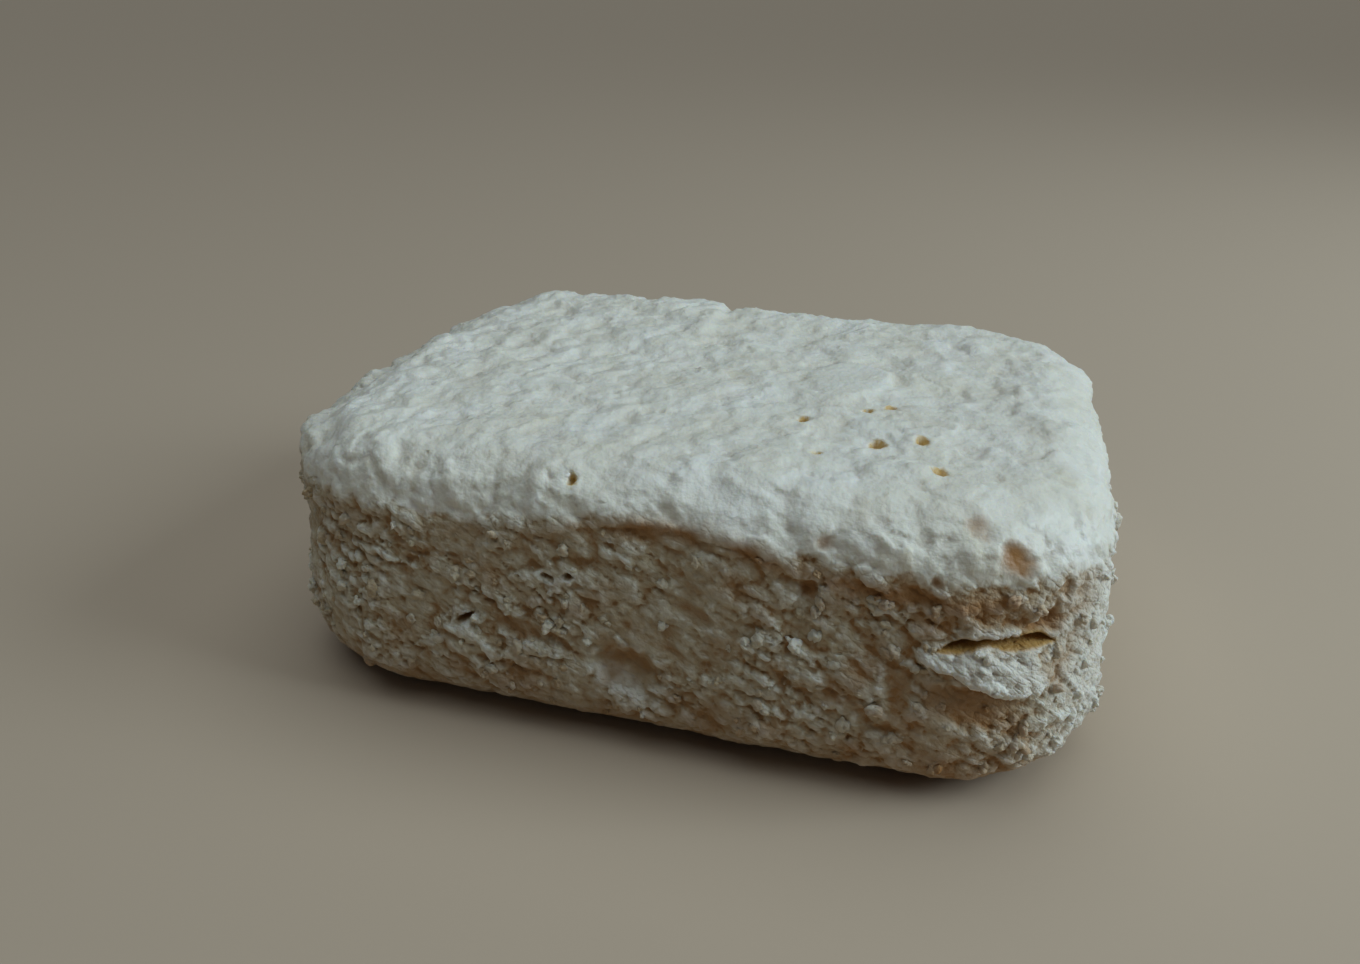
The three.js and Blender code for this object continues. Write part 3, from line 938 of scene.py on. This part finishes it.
def crumb_tree(material, block, bits):
    """The tree that scatters crumbs over the bare sides of the block and adds the larger bits."""
    tree = new_tree("Tofu Crumbs")
    size = node_inputs(tree, CrumbSizes)
    start = Wire(tree)
    place = start.node("GeometryNodeInputPosition")
    normal = start.node("GeometryNodeInputNormal")
    seed = size["Seed"]
    curd = start.node("GeometryNodeObjectInfo", {}, {"Object": block}, "Geometry")
    clear = 1 - ramped(named(start, "skin"), CRUMB_SKIN)
    clear = clear * (1 - ramped(named(start, "inside"), CRUMB_INSIDE))
    clear = clear * ramped(place.split()[2], CRUMB_BASE) * blend(loose_patches(place), CRUMB_FIRM, 1)
    clear = clear * ramped(-named(start, "hollow"), CRUMB_RAISED) * ramped(normal.split()[2], CRUMB_FACING)
    scatter = start.node("GeometryNodeDistributePointsOnFaces", {}, {
        "Mesh": curd, "Density": size["Density"] * clear, "Seed": seed})
    share = chance(start, 0.0, 1.0, seed + 1)
    scatter = store(scatter, "crumb", blend(share * share, size["Smallest"], size["Largest"]))
    sunk = normal.scaled(-CRUMB_SUNK * named(start, "crumb"))
    scatter = start.node("GeometryNodeSetPosition", {}, {"Geometry": scatter, "Offset": sunk})
    large = start.node("GeometryNodeObjectInfo", {}, {"Object": bits}, "Geometry")
    large = start.node("GeometryNodeMeshToPoints", {}, {"Mesh": large})
    scatter = crumbs_on(scatter, seed + 3, CRUMB_HOLLOW)
    large = crumbs_on(large, seed + 5, BIT_HOLLOW)
    put_out(start.node("GeometryNodeJoinGeometry", {}, {0: [scatter, large]}), material)
    return tree


def bit_points():
    """An object with a point for each of the larger bits, which keeps its radius."""
    mesh = bpy.data.meshes.new("bits")
    mesh.from_pydata([in_metres(at) for at, radius in BITS], [], [])
    radii = mesh.attributes.new("crumb", "FLOAT", "POINT")
    radii.data.foreach_set("value", [radius * MM for at, radius in BITS])
    return new_object("bits", mesh)


def store(geometry, name, value, domain="POINT"):
    """The geometry with a value kept on it under a name."""
    settings = {"data_type": "FLOAT", "domain": domain}
    return geometry.node("GeometryNodeStoreNamedAttribute", settings, {0: geometry, 2: name, 3: value})


def run_tree(name, tree, values, material):
    """A new object with the mesh that a tree makes from named values, all in one material."""
    piece = new_object(name, bpy.data.meshes.new(name))
    modifier = piece.modifiers.new(tree.name, "NODES")
    modifier.node_group = tree
    for item in tree.interface.items_tree:
        if item.in_out == "INPUT":
            modifier[item.identifier] = values[item.name]
    settle(piece)
    piece.data.materials.clear()
    piece.data.materials.append(material)
    return piece


def settle(piece):
    """Turn what a piece's modifiers make into its plain mesh."""
    graph = bpy.context.evaluated_depsgraph_get()
    made = bpy.data.meshes.new_from_object(piece.evaluated_get(graph), depsgraph=graph)
    piece.modifiers.clear()
    piece.data = made


def thin_out(piece, most):
    """Collapse a piece's flattest edges until it has at most so many triangles."""
    count = sum(len(face.vertices) - 2 for face in piece.data.polygons)
    if count > most:
        piece.modifiers.new("Thin Out", "DECIMATE").ratio = most / count
        settle(piece)


# Finish

# What the block keeps on its surface for the finish
MARKS = ("hollow", "crease", "skin", "inside", "pit", "stain", "smear", "under", "flake")

# The skin's colour, with a mottled lower edge
MOTTLE = (Layer(3.5 * MM, rise=0.6, detail=3, seed=18), Layer(8 * MM, rise=0.6, detail=1, seed=21))
FULL_SKIN = Ramp(0.8, 1.0)
SKIN_EDGE = Ramp(0.2, 0.65)
PALE_TOP = Patches(13 * MM, Ramp(-0.35, 0.45))
BUTTER_TOP = Patches(6 * MM, Ramp(0.1, 0.6, 0.4), seed=2)

# The sides' colour, which is paler where they stand out, partly as their own tone and partly as painted
# light, and paler at the right end and on the flake as painted light
RAISED = Ramp(0.2, -0.9)
BUTTER_SIDE = Patches(5 * MM, Ramp(0.0, 0.6, 0.4), seed=2)
PALE_CRUMBS = Ramp(-0.1, -0.4, 0.65)
FLAKE_PAINTED_LIGHT = Ramp(0.05, 0.5, 0.7)
RIGHT_END = Ramp(60 * MM, 74 * MM)
RIGHT_PAINTED_LIGHT = 0.72

# The tan of the sides: partly the curd's own tone, partly painted shade in the hollows, in the creases and
# towards the foot; it is rustier round the slit
TAN_HOLLOWS = Ramp(-0.12, 0.6, 0.8)
TAN_CREASES = Ramp(0.0, 0.35, 0.45)
TAN_PATCHES = Patches(8 * MM, Ramp(-0.1, 0.4, 0.5), detail=2, seed=15)
FOOT_PAINTED_SHADE = Ramp(18 * MM, 3 * MM, 0.45)
TAN_TORN = {"x": 54 * MM, "reach": 14 * MM, "share": 0.25}
RUSTY_TORN = {"x": 50 * MM, "reach": 20 * MM, "share": 0.85}

# How much less tan there is at the right end and on the flake, where light is painted, and on the skin
LESS_TAN = {"right": 0.65, "skin": 0.85}
LESS_TAN_FLAKE = Ramp(0.1, 0.5, 0.75)

# The line under the rim, tan at the left and rusty at the right: painted shadow under the rim, and at the
# tongue the skin's own orange edge
BAND = Patches(7 * MM, Ramp(-0.6, 0.15, 0.95), seed=6)
BAND_ON_SKIN = 0.3
BAND_END = Ramp(52 * MM, 64 * MM, 0.9)
BAND_RUSTY = Ramp(-8 * MM, 2 * MM)
BAND_TAN = 0.4
STAIN_OFF_FLAKE = Ramp(0.3, 0.8)
PIT_AMBER = 0.9

# The fine grain, torn on the sides and softer on the skin
TORN_BEND = Bend(1.5 * MM, 1.6 * MM)
TORN_GRAIN = Layer(0.7 * MM, rise=0.8, detail=3)
TORN_LUMPS = Lumps(1.1 * MM, rise=0.65)
SOFT_GRAIN = Layer(1.1 * MM, rise=0.5, detail=3, seed=1)
GRAIN_BUMP = {"Strength": 0.75, "Distance": 0.4 * MM}
ROUGHNESS = {"side": 0.68, "skin": 0.45, "grain": 0.1}

# How the curd lets light through and shines
CURD_LIGHT = {
    "Specular IOR Level": 0.4,
    "Subsurface Weight": 0.25,
    "Subsurface Radius": (1.0, 0.75, 0.4),
    "Subsurface Scale": 1.4 * MM,
}


def layered(colour, *coats):
    """A colour with coats of other colours over it, each with its share."""
    for share, coat in coats:
        colour = tint(share, colour, coat)
    return colour


def zone(along, kind):
    """A soft zone about a place along the block."""
    return bell(along - kind["x"], kind["reach"]) * kind["share"]


def skin_share(place, skin):
    """Where the skin's colour is, with a mottled edge."""
    fine, broad = (noise(place, layer) for layer in MOTTLE)
    return ramped(skin + (fine + broad) * (1 - ramped(skin, FULL_SKIN)), SKIN_EDGE)


def top_colour(place, paint):
    """Cream skin with pale and buttery patches."""
    pale, butter = (patched(place, patches) for patches in (PALE_TOP, BUTTER_TOP))
    return layered(paint["cream"], (pale, paint["pale"]), (butter, paint["butter"]))


def side_colour(place, marks, right_end, paint):
    """Bare curd with buttery patches, cream where it stands out and pale on raised crumbs, partly as painted
    light, and pale as painted light at the right end and on the flake.
    """
    # Cream where the curd stands out is partly painted light
    raised = ramped(marks["hollow"] + marks["crease"], RAISED)
    butter = patched(place, BUTTER_SIDE)
    crumbs = ramped(marks["crease"], PALE_CRUMBS)
    # Pale at the right end and on the flake is painted light
    pale = (right_end * RIGHT_PAINTED_LIGHT).most(ramped(marks["flake"], FLAKE_PAINTED_LIGHT))
    side = layered(paint["curd"], (raised, paint["cream"]), (butter, paint["butter"]))
    return layered(side, (crumbs, paint["pale"]), (pale, paint["pale"]))


def tan_share(place, marks, skin, right_end):
    """How tan the hollows, creases and lower parts of the sides are: painted shade in the hollows, creases
    and towards the foot, partly over the curd's own tan.
    """
    along, across, height = place.split()
    # Tan in hollows and creases is partly painted shade
    deep = ramped(marks["hollow"], TAN_HOLLOWS) + ramped(marks["crease"], TAN_CREASES)
    # Random tan patches are the curd's own tone; tan towards the foot is painted shade
    deep += patched(place, TAN_PATCHES) + ramped(height, FOOT_PAINTED_SHADE)
    deep += zone(along, TAN_TORN)
    # Less tan at the right end, where light is painted
    deep = deep.least(1) * (1 - LESS_TAN["right"] * right_end)
    # Less tan on the flake, where light is painted
    return deep * ((1 - LESS_TAN["skin"] * skin) * (1 - ramped(marks["flake"], LESS_TAN_FLAKE)))


def curd_colour(place, marks, skin, paint):
    """The curd's colour: skin and sides, then tan hollows partly painted with shade, rusty stains with
    painted shadow below the flake and under the rim, pits and the inside of the slit.
    """
    along = place.split()[0]
    right_end = ramped(along, RIGHT_END)
    colour = tint(skin, side_colour(place, marks, right_end, paint), top_colour(place, paint))
    # The band under the rim is painted shadow, and at the tongue the skin's own orange edge
    band = marks["under"] * patched(place, BAND) * (1 - BAND_ON_SKIN * skin)
    band = band * (1 - ramped(along, BAND_END))
    rusty = ramped(along, BAND_RUSTY)
    # Smear holds real smears and painted shade in the thumb mark's upper part, and takes the tan of the
    # painted band at the left
    smear = marks["smear"].most(band * (1 - rusty) * BAND_TAN)
    tan = tan_share(place, marks, skin, right_end).most(smear)
    hollows = tint(zone(along, RUSTY_TORN), paint["tan"], paint["rust"])
    # Real dent stains, painted shadow below the flake, and the rusty part of the painted band under the rim
    stain = marks["stain"].most(band * rusty) * (1 - ramped(marks["flake"], STAIN_OFF_FLAKE))
    pit = marks["pit"].least(1) * PIT_AMBER
    slit = tuple((a + b) / 2 for a, b in zip(paint["amber"], paint["rust"]))
    colour = layered(colour, (tan, hollows), (stain, paint["rust"]))
    return layered(colour, (pit, paint["amber"]), (marks["inside"], slit))


def curd_material(colours):
    """Moist curd: cream skin, butter patches, and tan in the hollows and creases, partly painted shade."""
    material = bpy.data.materials.new("Curd")
    material.use_nodes = True
    material.node_tree.nodes.clear()
    start = Wire(material.node_tree)
    place = start.node("ShaderNodeTexCoord", {}, {}, "Object")
    marks = {name: start.node("ShaderNodeAttribute", {"attribute_name": name}, {}, "Fac") for name in MARKS}
    paint = {name: tuple(getattr(colours, name)) for name in CurdColours.__annotations__}
    skin = skin_share(place, marks["skin"])
    torn = noise(place, TORN_GRAIN) + domes(warped(grained(*place.split()), TORN_BEND), TORN_LUMPS)
    grain = blend(skin, torn, noise(place, SOFT_GRAIN))
    side, top = (ROUGHNESS[part] + ROUGHNESS["grain"] * grain for part in ("side", "skin"))
    shader = start.node("ShaderNodeBsdfPrincipled", {}, {
        "Base Color": curd_colour(place, marks, skin, paint),
        "Roughness": blend(skin, side, top),
        "Normal": start.node("ShaderNodeBump", {}, {**GRAIN_BUMP, "Height": grain}),
        **CURD_LIGHT,
    })
    start.node("ShaderNodeOutputMaterial", {}, {"Surface": shader})
    return material


def plain_material(name, colour, roughness):
    """A plain even finish."""
    material = bpy.data.materials.new(name)
    material.use_nodes = True
    shader = material.node_tree.nodes["Principled BSDF"]
    shader.inputs["Base Color"].default_value = colour
    shader.inputs["Roughness"].default_value = roughness
    return material


# Stage

# The floor, in metres, and how rough it is
FLOOR_HALF = 14.0
FLOOR_ROUGHNESS = 0.8

# The lights, with places in metres and the spread in degrees
SKY = {"colour": (0.72, 0.86, 1.0, 1), "strength": 0.045}
CEILING = {"towards": (0.04, 0.06, 1.0), "spread": 70, "strength": 1.15, "colour": (0.84, 0.95, 1.0)}
WINDOW = {"place": (0.86, 0.05, 0.50), "side": 0.45, "power": 5.3, "colour": (0.72, 0.89, 1.0)}

# The camera's sensor in millimetres, and the nearest thing that it sees
SENSOR_WIDTH = 36.0
NEAREST = 10 * MM


def lamp(name, kind, towards, energy, colour):
    """A lamp of some kind that shines from a direction."""
    light = bpy.data.lights.new(name, kind)
    light.energy = energy
    light.color = colour
    made = new_object(name, light)
    made.rotation_euler = Vector(towards).to_track_quat("Z", "Y").to_euler()
    return made


def ceiling_light(towards, spread, strength, colour):
    """A wide soft light that shines from a direction, evenly over the whole stage."""
    ceiling = lamp("ceiling", "SUN", towards, strength, colour)
    ceiling.data.angle = math.radians(spread)


def window_light(place, side, power, colour):
    """A soft square light at one side, which fades along the block."""
    window = lamp("window", "AREA", place, power, colour)
    window.data.size = side
    window.location = place
    window.visible_camera = False


def stage_floor(colour):
    """A wide pale floor under the block."""
    half = FLOOR_HALF
    mesh = bpy.data.meshes.new("floor")
    corners = [(-half, -half, 0), (half, -half, 0), (half, half, 0), (-half, half, 0)]
    mesh.from_pydata(corners, [], [(0, 1, 2, 3)])
    mesh.materials.append(plain_material("Floor", tuple(colour), FLOOR_ROUGHNESS))
    floor = new_object("floor", mesh)


def stage_camera(stage):
    """The camera, at the height and angle that the block is seen from."""
    camera = bpy.data.cameras.new("camera")
    camera.lens = stage.lens
    camera.sensor_width = SENSOR_WIDTH
    camera.clip_start = NEAREST
    back = Vector((
        math.sin(stage.azimuth) * math.cos(stage.elevation),
        -math.cos(stage.azimuth) * math.cos(stage.elevation),
        math.sin(stage.elevation),
    ))
    viewer = new_object("camera", camera)
    viewer.location = Vector(stage.target) + back * stage.distance
    viewer.rotation_euler = (-back).to_track_quat("-Z", "Y").to_euler()
    bpy.context.scene.camera = viewer


def stage_world(colour, strength):
    """An even soft sky."""
    world = bpy.data.worlds.new("sky")
    world.use_nodes = True
    sky = world.node_tree.nodes["Background"]
    sky.inputs["Color"].default_value = colour
    sky.inputs["Strength"].default_value = strength
    bpy.context.scene.world = world


# Operators


class TOFU_OT_block(bpy.types.Operator):
    """Make the block's finished surface in place of its plain solid"""

    bl_idname = "tofu.block"
    bl_label = "Make Block"

    def execute(self, context):
        sizes = context.scene.tofu_sizes
        material = curd_material(context.scene.tofu_colours)
        tree = block_tree(material, sizes.voxel)
        block = run_tree("curd_block", tree, node_values(sizes), material)
        thin_out(block, sizes.triangles)
        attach(block, BODY)
        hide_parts(NODE)
        return {"FINISHED"}


class TOFU_OT_crumbs(bpy.types.Operator):
    """Scatter crumbs over the bare sides of the finished block"""

    bl_idname = "tofu.crumbs"
    bl_label = "Scatter Crumbs"

    def execute(self, context):
        block = bpy.data.objects["curd_block"]
        bits = bit_points()
        material = block.data.materials[0]
        tree = crumb_tree(material, block, bits)
        crumbs = run_tree("curd_crumbs", tree, node_values(context.scene.tofu_crumbs), material)
        bpy.data.objects.remove(bits)
        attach(crumbs, BODY)
        return {"FINISHED"}


class TOFU_OT_stage(bpy.types.Operator):
    """Set up the floor, the soft lights and the camera"""

    bl_idname = "tofu.stage"
    bl_label = "Set Stage"

    def execute(self, context):
        stage = context.scene.tofu_stage
        stage_floor(stage.floor)
        stage_world(**SKY)
        ceiling_light(**CEILING)
        window_light(**WINDOW)
        stage_camera(stage)
        context.scene.view_settings.view_transform = "Standard"
        return {"FINISHED"}


class TOFU_PT_panel(bpy.types.Panel):
    """Sizes, colours and steps of the tofu block"""

    bl_idname = "TOFU_PT_panel"
    bl_label = "Steamed Chicken Tofu"
    bl_space_type = "VIEW_3D"
    bl_region_type = "UI"
    bl_category = "Tofu"

    def draw(self, context):
        for name, kind in GROUPS.items():
            column = self.layout.column()
            for key in kind.__annotations__:
                column.prop(getattr(context.scene, name), key)
        for operator in (TOFU_OT_block, TOFU_OT_crumbs, TOFU_OT_stage):
            self.layout.operator(operator.bl_idname)


GROUPS = {
    "tofu_sizes": BlockSizes,
    "tofu_crumbs": CrumbSizes,
    "tofu_colours": CurdColours,
    "tofu_stage": StageSettings,
}
CLASSES = (*GROUPS.values(), TOFU_OT_block, TOFU_OT_crumbs, TOFU_OT_stage, TOFU_PT_panel)


def register():
    for kind in CLASSES:
        bpy.utils.register_class(kind)
    for name, kind in GROUPS.items():
        setattr(bpy.types.Scene, name, PointerProperty(type=kind))


def unregister():
    for name in GROUPS:
        delattr(bpy.types.Scene, name)
    for kind in reversed(CLASSES):
        bpy.utils.unregister_class(kind)


def main():
    register()
    bpy.ops.tofu.block()
    bpy.ops.tofu.crumbs()
    bpy.ops.tofu.stage()


if __name__ == "__main__":
    main()
